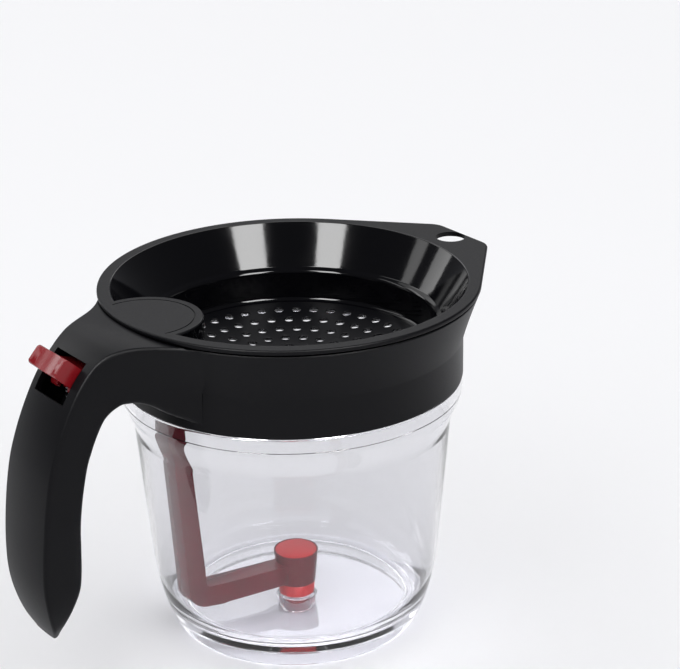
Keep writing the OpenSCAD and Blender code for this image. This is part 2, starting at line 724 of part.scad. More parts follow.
// rings of round holes, seven more in each ring, left out where the post stands
module strainer_holes() {
    rings = floor((dish_r - hole_r - 1.5) / hole_pitch);
    for (k = [0:rings], i = [0:max(7 * k - 1, 0)]) {
        r = hole_pitch * k;
        a = 360 * i / max(7 * k, 1) + 3 * k;
        p = [r * cos(a), r * sin(a)];
        if (norm(p - [pad_x, 0]) > pad_r + hole_r + 1)
            translate([p[0], p[1], bowl_z - 12]) cylinder(r = hole_r, h = 14, $fn = 20);
    }
}

cup();
cup_seal_ring();
collar_handle();
handle_inner_cover();
cover_screws();
trigger();
trigger_pin();
return_spring();
stopper_arm();
link_pin();
stopper_plug();
strainer();
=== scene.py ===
# %% [markdown]
# # A gravy fat separator
#
# This lesson dresses the CAD model of a kitchen jug. The jug has a clear cup with a drain in
# its floor, a black collar with a moulded handle, a red thumb trigger that lifts a stopper off
# the drain, and a black strainer bowl that drops into the collar. The CAD model brings the real
# sizes and the moving bodies. Here the pieces get their fine shape and their finish.

import math

import bmesh
import bpy
import numpy as np
from mathutils import Matrix, Vector


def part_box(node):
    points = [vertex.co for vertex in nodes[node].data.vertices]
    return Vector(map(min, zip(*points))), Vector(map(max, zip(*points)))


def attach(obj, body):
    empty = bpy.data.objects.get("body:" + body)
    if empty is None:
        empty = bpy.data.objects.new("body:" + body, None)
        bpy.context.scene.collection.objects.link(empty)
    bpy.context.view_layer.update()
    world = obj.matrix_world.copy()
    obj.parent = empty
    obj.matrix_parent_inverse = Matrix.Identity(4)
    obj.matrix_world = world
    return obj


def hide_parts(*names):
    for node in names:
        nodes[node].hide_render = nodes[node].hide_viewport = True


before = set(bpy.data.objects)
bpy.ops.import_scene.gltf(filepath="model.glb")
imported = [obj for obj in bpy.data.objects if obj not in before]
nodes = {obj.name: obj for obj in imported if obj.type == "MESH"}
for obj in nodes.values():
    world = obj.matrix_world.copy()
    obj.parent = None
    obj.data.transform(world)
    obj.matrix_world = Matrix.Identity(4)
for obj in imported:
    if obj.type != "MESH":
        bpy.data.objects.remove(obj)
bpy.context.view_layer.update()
print("nodes:", sorted(nodes))

# %% [markdown]
# ## Sizes
#
# Every size below is in millimetres and comes from the object. The CAD model has the same ones,
# and a few can be read from it, so that both models stay in step.

# %% Sizes that the pieces share
MM = 0.001
RIM_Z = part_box("strainer")[1][2] / MM  # top of the strainer's rim
COLLAR_TOP = RIM_Z - 2.7
COLLAR_Z = COLLAR_TOP - 36.2
CUP_H = COLLAR_Z + 8.0
PIVOT = (-87.0, 128.0)  # the trigger's pin, in the handle's plane
PAD_X, PAD_R, POST_WALL = -67.3, 22.7, 2.2
print(f"rim at {RIM_Z:.1f}, collar {COLLAR_Z:.1f} to {COLLAR_TOP:.1f}, cup lip {CUP_H:.1f} mm")

# %% [markdown]
# ## Camera
#
# The camera stands where the photographer's did, a little above the rim and to the near side of
# the handle. Its place and turn were found from the jug's own circles, which the photograph
# shows as ellipses. The lens is long, as for a product picture.

# %% Camera
camera = bpy.data.objects.new("camera", bpy.data.cameras.new("camera"))
bpy.context.scene.collection.objects.link(camera)
camera.location = (-0.46578, -0.67518, 0.44709)
look = Vector((0.54616, 0.75235, -0.36835))
roll = Matrix.Rotation(math.radians(0.893), 4, look)
camera.matrix_world = (
    Matrix.Translation(camera.location) @ roll @ look.to_track_quat("-Z", "Y").to_matrix().to_4x4()
)
camera.data.sensor_width = 36.0
camera.data.lens = 116.87
camera.data.clip_end = 30.0
bpy.context.scene.camera = camera
print("camera at", tuple(round(v, 3) for v in camera.location))

# %% [markdown]
# ## Helpers
#
# A profile is a list of points (radius, height) in millimetres. A moulded edge is never knife
# sharp, so a third number rounds the corner at that point. Two more points hold the flat walls
# beside the rounding flat, so that they shade as flats.


# %% Profiles with rounded corners
def rounded(points, closed=True, steps=5):
    """The points (x, y) or (x, y, radius) with their corners turned into arcs."""
    out = []
    count = len(points)
    for i, point in enumerate(points):
        b = Vector(point[:2])
        radius = point[2] if len(point) > 2 else 0.0
        if radius == 0 or (not closed and i in (0, count - 1)):
            out.append(tuple(b))
            continue
        a, c = Vector(points[i - 1][:2]), Vector(points[(i + 1) % count][:2])
        u, v = (a - b).normalized(), (c - b).normalized()
        half = u.angle(v) / 2
        radius = min(radius, 0.45 * min((a - b).length, (c - b).length) * math.tan(half))
        back = radius / math.tan(half)
        middle = b + (u + v).normalized() * (radius / math.sin(half))
        start, stop = b + u * back - middle, b + v * back - middle
        turn = start.angle_signed(stop)
        hold = min(0.35 * radius, 0.04 * min((a - b).length, (c - b).length))
        out.append(tuple(b + u * (back + hold)))
        for k in range(steps + 1):
            spin = Matrix.Rotation(-turn * k / steps, 2)
            out.append(tuple(middle + spin @ start))
        out.append(tuple(b + v * (back + hold)))
    return out


def quadratic(a, b, c, n):
    """Points of a quadratic curve from a to c, without a."""
    a, b, c = np.array(a), np.array(b), np.array(c)
    t = np.linspace(0, 1, n + 1)[1:, None]
    return [tuple(p) for p in (1 - t) ** 2 * a + 2 * t * (1 - t) * b + t * t * c]


def cubic(a, b, c, d, n):
    """Points of a cubic curve from a to d, without a."""
    a, b, c, d = (np.array(v) for v in (a, b, c, d))
    t = np.linspace(0, 1, n + 1)[1:, None]
    s = 1 - t
    curve = s**3 * a + 3 * s * s * t * b + 3 * s * t * t * c + t**3 * d
    return [tuple(p) for p in curve]


print("a rounded square has", len(rounded([(0, 0, 1), (9, 0, 1), (9, 9, 1), (0, 9, 1)])), "points")


# %% [markdown]
# Pieces are built as plain meshes from points and faces. Their objects stay at the origin and
# their place is in the mesh, like a CAD node's. Smooth shading breaks only at real edges.


# %% Mesh pieces
def piece(name, verts, faces, sharp=35.0):
    """A mesh object from points in millimetres, with its faces turned outwards."""
    mesh = bpy.data.meshes.new(name)
    mesh.from_pydata([Vector(v) * MM for v in verts], [], faces)
    bm = bmesh.new()
    bm.from_mesh(mesh)
    bmesh.ops.remove_doubles(bm, verts=bm.verts, dist=1e-7)
    bmesh.ops.dissolve_degenerate(bm, edges=bm.edges, dist=1e-8)
    bmesh.ops.recalc_face_normals(bm, faces=bm.faces)
    bm.to_mesh(mesh)
    bm.free()
    obj = bpy.data.objects.new(name, mesh)
    bpy.context.scene.collection.objects.link(obj)
    smooth(obj, sharp)
    return obj


def smooth(obj, sharp=35.0):
    """Shades a piece smooth, except at edges that turn by more than so many degrees."""
    obj.data.shade_smooth()
    obj.data.set_sharp_from_angle(angle=math.radians(sharp))


def loft(name, rings, loop=False, sharp=35.0):
    """A skin over rings of equally many points, capped, or with loop closed into a tube."""
    n, m = len(rings[0]), len(rings)
    verts = [p for ring in rings for p in ring]
    faces = []
    for i in range(m if loop else m - 1):
        for j in range(n):
            a, b = i * n, ((i + 1) % m) * n
            k = (j + 1) % n
            faces.append((a + j, a + k, b + k, b + j))
    if not loop:
        faces += [tuple(range(n))[::-1], tuple(range((m - 1) * n, m * n))]
    return piece(name, verts, faces, sharp)


def circle(radius, count, middle=(0.0, 0.0)):
    """Points (a, b) evenly spaced on a circle."""
    turns = [2 * math.pi * j / count for j in range(count)]
    return [(middle[0] + radius * math.cos(t), middle[1] + radius * math.sin(t)) for t in turns]


def lathe(name, profile, segments=192, sharp=35.0, axis_x=0.0):
    """A solid of revolution about an upright axis, from a closed profile (radius, height)."""
    rings = [[(x, y, z) for x, y in circle(r, segments, (axis_x, 0.0))] for r, z in profile]
    return loft(name, rings, loop=True, sharp=sharp)


def combine(obj, tools, operation):
    """Cuts, joins or keeps what is common, with each tool in turn, and removes the tools."""
    for tool in tools:
        change = obj.modifiers.new("combine", "BOOLEAN")
        change.operation = operation
        change.object = tool
        change.solver = "EXACT"
        bake(obj)
        remove(tool)
    return obj


def bake(obj):
    """Turns a piece's modifiers into its mesh."""
    graph = bpy.context.evaluated_depsgraph_get()
    mesh = bpy.data.meshes.new_from_object(obj.evaluated_get(graph))
    old = obj.data
    obj.modifiers.clear()
    obj.data = mesh
    if old.users == 0 and isinstance(old, bpy.types.Mesh):
        bpy.data.meshes.remove(old)
    return obj


def remove(obj):
    """Deletes a tool and its mesh."""
    mesh = obj.data
    bpy.data.objects.remove(obj)
    if mesh.users == 0:
        bpy.data.meshes.remove(mesh)


def box_tool(low, high):
    """A plain box between two corners, in millimetres."""
    (x0, y0, z0), (x1, y1, z1) = low, high
    ring = [(x0, y0), (x1, y0), (x1, y1), (x0, y1)]
    return loft("tool", [[(x, y, z) for x, y in ring] for z in (z0, z1)])


def across(name, outline, y0, y1):
    """An outline in the handle's plane (x, z), made into a plate from y0 to y1."""
    return loft(name, [[(x, y, z) for x, z in outline] for y in (y0, y1)])


def disc_tool(centre, radius, z0, z1, segments=128):
    """An upright cylinder."""
    ring = circle(radius, segments, centre)
    return loft("tool", [[(x, y, z) for x, y in ring] for z in (z0, z1)])


def finish_piece(obj, body, slot, material, *replaced):
    """Gives a piece its finish and its place among the bodies."""
    obj.data.materials.clear()
    obj.data.materials.append(material)
    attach(obj, body)
    if replaced:
        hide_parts(*replaced)
    print(f"{obj.name}: {len(obj.data.polygons)} faces on {body}")
    return obj


# %% [markdown]
# ## Finishes
#
# One function adds a node with its settings, its values and its links. It serves the shader
# trees here and the geometry trees further on.


# %% One function for nodes, one for colours
def add(tree, kind, values=None, links=None, **settings):
    """Adds a node: settings are its own options, values and links go to its inputs."""
    node = tree.nodes.new(kind)
    for key, value in settings.items():
        setattr(node, key, value)
    for key, value in (values or {}).items():
        node.inputs[key].default_value = value
    for key, source in (links or {}).items():
        tree.links.new(source, node.inputs[key])
    return node


def linear(code):
    """An sRGB hex colour as linear numbers with alpha."""
    parts = [int(code[i : i + 2], 16) / 255 for i in (1, 3, 5)]
    return tuple(c / 12.92 if c <= 0.04045 else ((c + 0.055) / 1.055) ** 2.4 for c in parts) + (1,)


def new_material(name, **values):
    """A material with its shader's constant values set on the shader itself."""
    material = bpy.data.materials.new(name)
    material.use_nodes = True
    shader = material.node_tree.nodes["Principled BSDF"]
    for key, value in values.items():
        socket = shader.inputs[key.replace("_", " ")]
        socket.default_value = value
    return material, material.node_tree, shader


def grain(tree, shader, size_mm, depth_mm, rough=None):
    """The fine matt texture that spark erosion leaves in a mould, as bump and roughness."""
    place = add(tree, "ShaderNodeTexCoord").outputs["Object"]
    noise = add(
        tree,
        "ShaderNodeTexNoise",
        {"Scale": 1 / (size_mm * MM), "Detail": 3.0, "Roughness": 0.6},
        {"Vector": place},
    )
    bump = add(
        tree,
        "ShaderNodeBump",
        {"Strength": 1.0, "Distance": depth_mm * MM},
        {"Height": noise.outputs["Fac"]},
    )
    tree.links.new(bump.outputs["Normal"], shader.inputs["Normal"])
    if rough:
        spread = add(
            tree,
            "ShaderNodeMapRange",
            {"From Min": 0.3, "From Max": 0.7, "To Min": rough[0], "To Max": rough[1]},
            {"Value": noise.outputs["Fac"]},
        )
        tree.links.new(spread.outputs["Result"], shader.inputs["Roughness"])


print("black plastic in linear numbers:", tuple(round(v, 4) for v in linear("#1c1c1f")[:3]))

# %% [markdown]
# The black pieces are moulded nylon. The collar, handle, rim and thumb pad come from a mould
# with a fine eroded grain and look satin. The bowl's inside comes from a polished mould and
# mirrors the lights. The grain is a third of a millimetre, which barely shows in the picture.

# %% Black nylon, satin and polished
satin_black, tree, shader = new_material(
    "moulded_black_nylon_satin", Base_Color=linear("#07070b"), IOR=1.5, Specular_IOR_Level=0.13
)
grain(tree, shader, 0.35, 0.008, (0.38, 0.46))

polished_black, tree, shader = new_material(
    "moulded_black_nylon_polished", Base_Color=linear("#060609"), IOR=1.5, Specular_IOR_Level=0.22
)
# a moulded wall is never quite flat: long, shallow waves bend the reflections a little
grain(tree, shader, 14.0, 0.04, (0.07, 0.1))
print("made", satin_black.name, "and", polished_black.name)

# %% [markdown]
# The cup is injection moulded copolyester: clear, with an index of 1.5 and a touch of grey.
# Clear plastic would cast a shadow as dark as a black piece's, because a shadow ray counts every
# wall as solid. So shadow rays pass each wall here, and lose a little of their light at it.

# %% Clear copolyester
clear_plastic, tree, shader = new_material(
    "moulded_clear_copolyester",
    Base_Color=linear("#f0f0f2"),
    IOR=1.5,
    Specular_IOR_Level=0.15,
    Transmission_Weight=1.0,
)
grain(tree, shader, 22.0, 0.02, (0.012, 0.03))
way = add(tree, "ShaderNodeLightPath")
passing = add(tree, "ShaderNodeBsdfTransparent", {"Color": linear("#d4d4d8")})
choice = add(
    tree,
    "ShaderNodeMixShader",
    links={0: way.outputs["Is Shadow Ray"], 1: shader.outputs[0], 2: passing.outputs[0]},
)
tree.links.new(choice.outputs[0], tree.nodes["Material Output"].inputs["Surface"])
print("made", clear_plastic.name)

# %% [markdown]
# The stopper's arm is a smoky dark red plastic with a faint gloss. The plug is bright red
# silicone, soft and matt. The trigger is red ABS with a light satin grain. The seal is milky
# clear silicone. Pins, screws and the spring are stainless steel.

# %% Reds, silicone and steel
smoky_red, tree, shader = new_material(
    "moulded_smoky_red_plastic", Base_Color=linear("#5c141e"), IOR=1.5, Specular_IOR_Level=0.16
)
grain(tree, shader, 3.0, 0.004, (0.22, 0.28))

red_abs, tree, shader = new_material(
    "moulded_red_abs", Base_Color=linear("#8a141c"), IOR=1.5, Specular_IOR_Level=0.3
)
grain(tree, shader, 0.3, 0.003, (0.2, 0.26))

red_silicone, tree, shader = new_material(
    "moulded_red_silicone", Base_Color=linear("#b60e17"), IOR=1.42, Subsurface_Weight=0.1
)
shader.inputs["Subsurface Radius"].default_value = (0.003, 0.001, 0.001)
grain(tree, shader, 0.5, 0.01, (0.42, 0.5))

clear_silicone, tree, shader = new_material(
    "moulded_clear_silicone", Base_Color=linear("#dcdcd8"), IOR=1.42, Transmission_Weight=0.4
)
grain(tree, shader, 0.5, 0.01, (0.4, 0.5))

steel, tree, shader = new_material(
    "drawn_stainless_steel", Base_Color=linear("#c4c4c8"), Metallic=1.0
)
grain(tree, shader, 0.2, 0.004, (0.2, 0.3))
print("made", [m.name for m in (smoky_red, red_abs, red_silicone, clear_silicone, steel)])

# %% [markdown]
# ## The cup
#
# A lathe turns the cup's profile about its axis: foot ring, rounded bottom, a slightly tapered
# wall, the solid shoulder that carries the collar, and a neck that hides inside the collar. A
# tiny step inside the shoulder draws the thin dark line below the collar. The floor has a conical
# seat and a short spout for the drain. Three lugs on the neck hold the collar.

# %% Cup profile
FLOOR_Z = 9.5
SHOULDER_Z = COLLAR_Z - 0.3


def cup_profile():
    outer = [(45.9, 0.0, 0.8), (48.3, 0.0, 1.1)]
    outer += quadratic((48.9, 0.1), (49.8, 0.1), (50.6, 1.2), 3)
    outer += quadratic((50.6, 1.2), (56.5, 11.9), (58.75, 31.0), 26)
    outer += [(61.1, 56.0), (63.9, SHOULDER_Z - 19.9)]
    outer += cubic(
        (63.9, SHOULDER_Z - 19.9), (64.2, SHOULDER_Z - 12.4), (68.6, SHOULDER_Z - 9.9),
        (68.6, SHOULDER_Z - 4.4), 22,
    )
    neck = [
        (68.6, SHOULDER_Z, 0.7), (65.3, SHOULDER_Z, 0.5), (65.3, CUP_H, 0.8),
        (63.0, CUP_H, 0.8), (63.0, SHOULDER_Z - 6.7), (63.6, SHOULDER_Z - 6.8),
    ]
    inner = [(61.6, SHOULDER_Z - 20.9, 6.0), (58.8, 56.0), (56.45, 31.0)]
    inner += quadratic((56.45, 31.0), (55.2, 9.3), (45.5, FLOOR_Z), 26)
    drain = [
        (7.3, FLOOR_Z, 0.4), (5.6, 5.5, 0.3), (5.6, 1.5, 0.4), (7.5, 1.5, 0.5),
        (7.9, 6.8, 0.8), (45.5, 6.8, 1.2),
    ]
    return rounded(outer + neck + inner + drain)


def lug_tool(r0, r1, z0, z1, middle, width, steps=12):
    """A lug of a ring, so many degrees wide about its middle direction."""
    rings = []
    for k in range(steps + 1):
        a = math.radians(middle - width / 2 + width * k / steps)
        corners = ((r0, z0), (r1, z0), (r1, z1), (r0, z1))
        rings.append([(r * math.cos(a), r * math.sin(a), z) for r, z in corners])
    return loft("tool", rings)


cup = lathe("cup_clear", cup_profile(), segments=256, sharp=30)
lugs = [lug_tool(64.8, 66.6, COLLAR_Z + 3.7, COLLAR_Z + 6.0, 60 + 120 * k, 30) for k in range(3)]
combine(cup, lugs, "UNION")
smooth(cup, 30)
finish_piece(cup, "jug", "clear_plastic", clear_plastic, "cup")

# %% [markdown]
# ## The collar and handle
#
# They are one moulding. The collar is a lathe piece: a straight band, a flare under the rim, a
# ledge for the strainer inside, and a flange over the cup's lip. The handle is a loft: sections
# march from inside the collar over the hump and down the grip. Each section has flat sides, a
# crowned back and small rounded corners.

# %% Handle sections
# stations: back edge (x, z), front edge (x, z), crown of the back, half width
STATIONS = [
    ((-62.0, 143.9), (-62.0, 109.8), 0.2, 15.9),
    ((-70.0, 143.9), (-70.0, 113.5), 0.3, 15.9),
    ((-76.0, 143.9), (-76.0, 117.4), 0.5, 15.9),
    ((-80.5, 144.0), (-80.5, 119.3), 0.7, 15.9),
    ((-84.5, 143.9), (-84.5, 119.9), 0.8, 15.9),
    ((-88.5, 143.4), (-87.5, 120.0), 0.8, 15.9),
    ((-92.5, 142.3), (-90.3, 119.1), 0.9, 15.8),
    ((-96.5, 140.1), (-92.6, 117.9), 1.0, 15.7),
    ((-100.2, 136.9), (-94.7, 116.2), 1.2, 15.6),
    ((-103.6, 133.2), (-96.4, 114.0), 1.3, 15.6),
    ((-107.0, 128.6), (-98.0, 111.2), 1.4, 15.6),
    ((-110.5, 122.6), (-99.7, 107.8), 1.4, 15.6),
    ((-114.2, 115.0), (-101.3, 104.2), 1.3, 15.7),
    ((-117.6, 106.6), (-103.1, 99.8), 1.2, 15.8),
    ((-120.4, 97.5), (-104.8, 93.4), 1.2, 15.9),
    ((-122.6, 86.0), (-106.4, 85.5), 1.2, 15.9),
    ((-124.1, 74.0), (-107.6, 76.0), 1.2, 15.8),
    ((-124.9, 64.0), (-107.85, 67.0), 1.2, 15.5),
    ((-125.05, 55.0), (-108.1, 57.0), 1.1, 15.1),
    ((-124.3, 47.5), (-108.9, 49.5), 1.0, 14.6),
    ((-122.7, 40.0), (-111.0, 43.0), 0.8, 13.4),
    ((-120.6, 33.5), (-113.6, 36.8), 0.5, 11.4),
    ((-118.4, 28.6), (-115.9, 30.2), 0.2, 7.6),
]
BLEND_R = 30.0  # radius, seen from above, of the fillet low between handle and collar
SINK = 0.05  # how far the handle's root lies below the collar's face


def spline(values, s):
    """A smooth value through a list of numbers or points, at place s."""
    i = min(int(s), len(values) - 2)
    t = s - i
    a, b, c, d = (
        np.array(values[max(0, min(i + k, len(values) - 1))], float) for k in (-1, 0, 1, 2)
    )
    return 0.5 * (
        2 * b + (c - a) * t + (2 * a - 5 * b + 4 * c - d) * t**2 + (3 * b - a - 3 * c + d) * t**3
    )


FLARE = quadratic((68.9, COLLAR_Z + 15.8), (70.3, COLLAR_Z + 22.3), (75.3, COLLAR_TOP - 0.5), 16)


def collar_radius(z):
    """Outer radius of the collar at height z."""
    radii, heights = zip(*([(68.9, COLLAR_Z - 50), (68.9, COLLAR_Z + 15.8)] + FLARE))
    return float(np.interp(z, heights, radii))


def fillet_radius(z):
    """Radius of that fillet at height z: it opens towards the top of the hump."""
    share = (z - COLLAR_Z) / (COLLAR_TOP - COLLAR_Z) * 1.3 - 0.3
    return BLEND_R * (1 + 0.6 * min(max(share, 0.0), 1.0))


def side_width(x, z, width):
    """Half width of the handle at a point of its side, with the fillet into the collar."""
    r, fillet = collar_radius(z) - SINK, fillet_radius(z)
    centre_y = width + fillet
    reach = math.sqrt(max((r + fillet) ** 2 - centre_y**2, 0.0))
    if x <= -reach:
        return width
    touch = -reach * r / (r + fillet)
    if x < touch:
        return centre_y - math.sqrt(fillet**2 - (x + reach) ** 2)
    return math.sqrt(max(r * r - x * x, 1.0)) - SINK


def handle_section(s, corner_back=1.3, corner_front=2.2):
    """One section at place s, as points around it."""
    back, front = (spline([st[k] for st in STATIONS], s) for k in (0, 1))
    crown = float(spline([st[2] for st in STATIONS], s))
    width = float(spline([st[3] for st in STATIONS], s))
    depth = np.linalg.norm(back - front)
    up = (back - front) / depth
    corner_back = min(corner_back, 0.4 * depth)
    corner_front = min(corner_front, 0.4 * depth)

    def at(d):
        return front + up * d

    def half(d):
        x, z = at(d)
        return side_width(x, z, width)

    side = [corner_front + (depth - corner_front - corner_back) * k / 8 for k in range(9)]
    points = [(half(d), d) for d in side]
    arc = [math.radians(90 * k / 5) for k in range(1, 6)]
    w1 = half(depth) - corner_back
    rise = depth - corner_back
    points += [(w1 + corner_back * math.cos(a), rise + corner_back * math.sin(a)) for a in arc]
    top = [w1 * math.cos(math.pi * k / 20) for k in range(1, 20)]
    points += [(y, depth + crown * (1 - (y / w1) ** 2)) for y in top]
    points += [(-w1 - corner_back * math.cos(a), rise + corner_back * math.sin(a))
               for a in reversed(arc)]
    points += [(-half(d), d) for d in reversed(side)]
    w0 = half(0.0) - corner_front
    points += [(-w0 - corner_front * math.cos(a), corner_front - corner_front * math.sin(a))
               for a in arc]
    points += [(w0 * math.cos(math.pi * (20 - k) / 20), 0.0) for k in range(1, 20)]
    points += [(w0 + corner_front * math.cos(a), corner_front - corner_front * math.sin(a))
               for a in reversed(arc)]
    return [(at(d)[0], y, at(d)[1]) for y, d in points]


LAST = len(STATIONS) - 1
handle_rings = [handle_section(LAST * i / 150) for i in range(151)]
print("handle:", len(handle_rings), "sections of", len(handle_rings[0]), "points")

# %% [markdown]
# The handle's tip ends in a round nose: the last rings shrink towards their middle on a quarter
# circle. A hollow loft then makes the channel inside, which the trigger's lever and its spring
# need, and the collar's own inside is cut clear.

# %% Handle and collar solids
tip = [np.array(p) for p in handle_rings[-1]]
tip_middle = sum(tip) / len(tip)
tip_way = np.array([0.28, 0.0, -0.96])
for k in range(1, 7):
    a = math.radians(90 * k / 6.3)
    shrink = math.cos(a)
    handle_rings.append([tuple(tip_middle + (p - tip_middle) * shrink + tip_way * 1.7 * math.sin(a))
                         for p in tip])
handle = loft("collar_and_handle", handle_rings)


def channel_rings(first, last, count, width, wall, out):
    """Sections of the hollow inside the handle, open at the front."""
    rings = []
    for i in range(count + 1):
        s = first + (last - first) * i / count
        back, front = (spline([st[k] for st in STATIONS], s) for k in (0, 1))
        crown = float(spline([st[2] for st in STATIONS], s)) * 0.8
        depth = np.linalg.norm(back - front)
        up = (back - front) / depth
        low, high = -out, depth - wall
        ys = [width * math.cos(math.pi * k / 12) for k in range(13)]
        points = [(y, high + crown * (1 - (y / width) ** 2)) for y in ys]
        points += [(-width, low), (width, low)]
        rings.append([(*(front + up * d), y) for y, d in points])
    return [[(x, y, z) for x, z, y in ring] for ring in rings]


channel = loft("tool", channel_rings(2.6, 20.2, 70, 12.4, 2.6, 8.0))
inside = lathe("tool", [(0.001, COLLAR_Z - 20), (66.5, COLLAR_Z - 20), (68.0, COLLAR_Z - 1),
                        (68.0, COLLAR_Z + 16), (73.0, COLLAR_TOP - 5), (73.75, COLLAR_TOP - 3.5),
                        (74.3, COLLAR_TOP), (76.3, COLLAR_TOP),
                        (76.3, 170), (0.001, 170)], segments=256)
combine(handle, [channel, inside], "DIFFERENCE")
print("handle shell:", len(handle.data.polygons), "faces")

# %% Collar ring with its flange, lugs and the arm's guide
FLANGE_Z = CUP_H + 1.6
LEDGE_Z, LEDGE_R = COLLAR_TOP - 3.5, 71.4  # where the strainer rests, and its inner radius


def collar_profile():
    inner = [(r - 2.2, z) for r, z in reversed(FLARE) if z < LEDGE_Z - 1.2]
    return rounded(
        [(66.9, COLLAR_Z, 0.4), (68.9, COLLAR_Z, 0.7), (68.9, COLLAR_Z + 15.8)]
        + FLARE
        + [(75.1, COLLAR_TOP, 0.5), (73.4, COLLAR_TOP, 0.5), (73.4, LEDGE_Z, 0.3),
           (LEDGE_R, LEDGE_Z, 0.5)]
        + inner
        + [(66.9, COLLAR_Z + 15.8), (66.9, FLANGE_Z + 2.5, 0.5), (61.2, FLANGE_Z + 2.5, 0.5),
           (61.2, FLANGE_Z, 0.5), (66.9, FLANGE_Z, 0.3)]
    )


collar = lathe("tool", collar_profile(), segments=256)
guide_outer = box_tool((-62.0, -6.8, FLANGE_Z - 9.2), (-50.6, 6.8, FLANGE_Z + 2.5))
guide_plate = box_tool((-65.0, -8.4, FLANGE_Z), (-50.6, 8.4, FLANGE_Z + 2.5))
collar_lugs = [
    lug_tool(65.5, 67.4, COLLAR_Z + 0.8, COLLAR_Z + 3.3, 60 + 120 * k, 30) for k in range(3)
]
BOSS_R = 4.6
bosses = [
    across("tool", circle(BOSS_R, 48, PIVOT), y0, y1) for y0, y1 in ((-13.7, -8.7), (8.7, 13.7))
]
combine(handle, [collar, guide_outer, guide_plate, *collar_lugs, *bosses], "UNION")
print("collar and handle:", len(handle.data.polygons), "faces")

# %% [markdown]
# Four cuts finish the moulding: the passage for the stopper's arm, the window for the trigger's
# fork, the slot for the thumb tab, and the bore for the pivot pin.

# %% Cuts in the collar and handle
SLOT_MID, SLOT_TURN = (PIVOT[0] - 17.4, PIVOT[1] + 3.44), math.radians(144.2)
SLOT_HALF = (7.0, 8.9)  # half its depth and half its length along the handle's back
PIN_BORE_R = 2.02


def turned(points, middle, angle):
    """Points of an outline turned about the origin and moved to its middle."""
    c, s = math.cos(angle), math.sin(angle)
    return [(middle[0] + x * c - y * s, middle[1] + x * s + y * c) for x, y in points]


passage = box_tool((-59.9, -4.7, 60), (-52.7, 4.7, 150))
window = box_tool((-85.9, -9.2, FLANGE_Z + 4.9), (-63.9, 9.2, PIVOT[1] + 6.2))
deep, long = SLOT_HALF
slot_outline = turned([(-deep, -long), (deep, -long), (deep, long), (-deep, long)],
                      SLOT_MID, SLOT_TURN)
slot_cut = across("tool", slot_outline, -10.6, 10.6)
bore = across("tool", circle(PIN_BORE_R, 48, PIVOT), -13.6, 30)  # open on the far side
combine(handle, [passage, window, slot_cut, bore], "DIFFERENCE")
smooth(handle, 30)
finish_piece(handle, "jug", "black_satin_plastic", satin_black, "collar_handle")

# %% [markdown]
# ## The strainer
#
# The bowl's upper and lower skins are rings of points from the rim to the centre. Its outermost
# rings follow the rim with its hanging tab, and the inner ones are circles, so one loft makes
# rim, tab, funnel, wall and dished floor together.

# %% Rim outline with the hanging tab
HANG_X, HANG_R = 82.0, 6.2
SEGMENTS = 288


def rim_outline():
    """Points (x, y) and outward directions of the rim's outline, evenly turned about Z."""
    nose, nose_r, rim_r = (80.6, 13.0), 8.0, 76.0
    reach = math.hypot(*nose)
    turn = math.atan2(nose[1], nose[0]) + math.acos((rim_r - nose_r) / reach)
    a = np.array([math.cos(turn), math.sin(turn)])
    start, end = rim_r * a, np.array(nose) + nose_r * a
    path = [(end + (start - end) * k / 60, a) for k in range(61)]
    turns = np.linspace(turn, 2 * math.pi - turn, 400)[1:-1]
    path += [(rim_r * np.array([math.cos(t), math.sin(t)]), np.array([math.cos(t), math.sin(t)]))
             for t in turns]
    path += [(p * [1, -1], n * [1, -1]) for p, n in reversed(path[:61])]
    for k in range(1, 40):
        t = -turn + turn * k / 39
        n = np.array([math.cos(t), math.sin(t)])
        path.append((np.array([nose[0], -nose[1]]) + nose_r * n, n))
    path += [(p * [1, -1], n * [1, -1]) for p, n in reversed(path[-39:])]
    angles = np.unwrap([math.atan2(p[1], p[0]) for p, _ in path])
    want = np.linspace(angles[0], angles[0] + 2 * math.pi, SEGMENTS, endpoint=False)
    points = np.array([p for p, _ in path])
    normals = np.array([n for _, n in path])
    period = np.append(angles, angles[0] + 2 * math.pi)
    out = []
    for w in want:
        p = [np.interp(w, period, np.append(points[:, k], points[0, k])) for k in (0, 1)]
        n = [np.interp(w, period, np.append(normals[:, k], normals[0, k])) for k in (0, 1)]
        out.append((np.array(p), np.array(n) / np.linalg.norm(n), w))
    return out


outline = rim_outline()
print("rim outline reaches", round(max(p[0] for p, _, _ in outline), 1), "mm")

# %% Bowl skins
UNDER = RIM_Z - 1.9
BOWL_Z = RIM_Z - 29.0
DISH_R, DISH_H = 55.0, 4.8


def dish_z(r, low=0.0):
    """Height of the dished floor at radius r."""
    return BOWL_Z - 1.7 - DISH_H + low + DISH_H * (r / DISH_R) ** 2


def outline_ring(inset, z):
    return [(*(p - n * inset), z) for p, n, _ in outline]


def circle_ring(r, z):
    return [(r * math.cos(w), r * math.sin(w), z) for _, _, w in outline]


